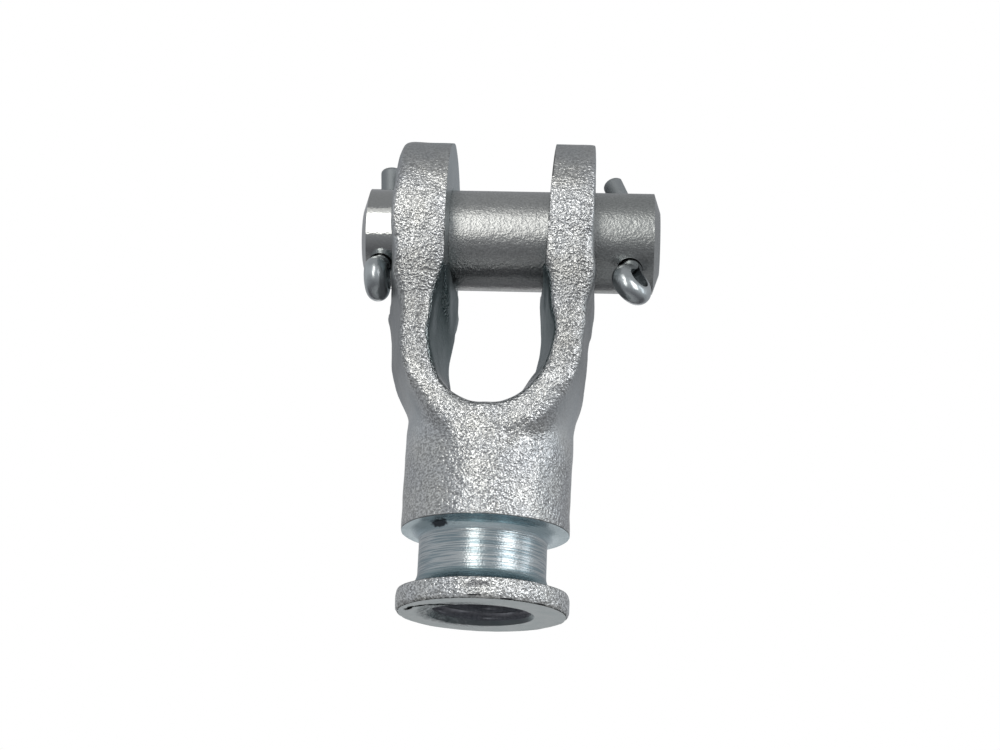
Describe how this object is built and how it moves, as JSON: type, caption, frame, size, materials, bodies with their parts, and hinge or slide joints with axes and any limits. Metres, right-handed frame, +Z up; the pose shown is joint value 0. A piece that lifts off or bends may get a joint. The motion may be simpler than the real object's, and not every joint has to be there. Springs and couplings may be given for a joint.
{
  "type": "clevis rod end",
  "caption": "Forged clevis rod end: a two-armed fork on a turned, grooved and tapped neck, with a plain clevis pin held by bent split pins.",
  "frame": {"origin": "where the thread axis meets the flat bottom face", "axes": "+Z up the thread axis to the fork, +X along the clevis pin towards its longer end, +Y towards the side where the split pins' legs are bent open"},
  "size_m": [0.047, 0.0314, 0.0762],
  "materials": {
    "forged_zinc": "zinc plated, shot-blasted forging",
    "pin_zinc": "zinc plated, turned",
    "split_pin_zinc": "zinc plated wire"
  },
  "bodies": {
    "clevis": {"clevis_body": "forged_zinc"},
    "pin": {"clevis_pin": "pin_zinc", "cotter_pin_left": "split_pin_zinc", "cotter_pin_right": "split_pin_zinc"}
  },
  "joints": [
    {"name": "pin_turn", "type": "hinge", "parent": "clevis", "child": "pin", "pos_m": [0, 0, 0.0605], "axis": [1, 0, 0], "range_deg": [-75, 2]}
  ]
}
